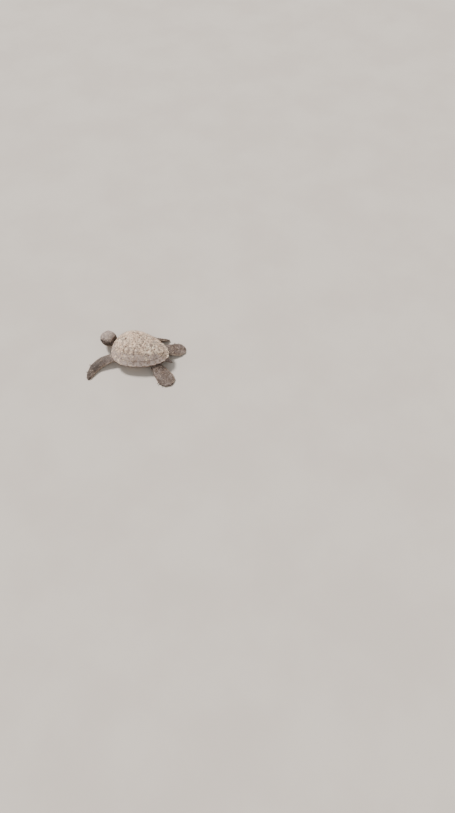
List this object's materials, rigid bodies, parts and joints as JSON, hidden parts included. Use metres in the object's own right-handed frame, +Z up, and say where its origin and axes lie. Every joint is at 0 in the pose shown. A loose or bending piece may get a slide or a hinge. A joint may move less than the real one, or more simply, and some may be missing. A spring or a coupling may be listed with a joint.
{
  "type": "loggerhead turtle hatchling model",
  "caption": "Still life-size model of a crawling loggerhead turtle hatchling with a keeled scuted shell and spread flippers.",
  "frame": {"origin": "middle of the flat under the belly, on the floor plane", "axes": "+Z up, the turtle faces -Y, its left side is +X"},
  "size_m": [0.0571, 0.069, 0.018],
  "materials": {
    "carapace": "dull keratin scutes dusted with dry sand",
    "plastron": "dull pale brown keratin scutes",
    "skin": "dry scaly skin, dusted with sand",
    "eye": "wet and glossy, nearly black",
    "beak": "smooth dull horn",
    "claw": "smooth dull horn"
  },
  "bodies": {
    "root": {"nuchal_scute": "carapace", "vertebral_scute_1": "carapace", "vertebral_scute_2": "carapace", "vertebral_scute_3": "carapace", "vertebral_scute_4": "carapace", "vertebral_scute_5": "carapace", "costal_scute_left_1": "carapace", "costal_scute_left_2": "carapace", "costal_scute_left_3": "carapace", "costal_scute_left_4": "carapace", "costal_scute_left_5": "carapace", "marginal_scutes_left": "carapace", "bridge_left": "plastron", "eye_left": "eye", "costal_scute_right_1": "carapace", "costal_scute_right_2": "carapace", "costal_scute_right_3": "carapace", "costal_scute_right_4": "carapace", "costal_scute_right_5": "carapace", "marginal_scutes_right": "carapace", "bridge_right": "plastron", "eye_right": "eye", "plastron": "plastron", "trunk": "skin", "neck": "skin", "tail": "skin", "front_flipper_left": "skin", "claw_front_left_1": "claw", "claw_front_left_2": "claw", "front_flipper_right": "skin", "claw_front_right_1": "claw", "claw_front_right_2": "claw", "hind_flipper_left": "skin", "claw_hind_left_1": "claw", "claw_hind_left_2": "claw", "hind_flipper_right": "skin", "claw_hind_right_1": "claw", "claw_hind_right_2": "claw", "head": "skin", "beak_upper": "beak", "lower_jaw": "skin", "beak_lower": "beak"}
  },
  "joints": []
}
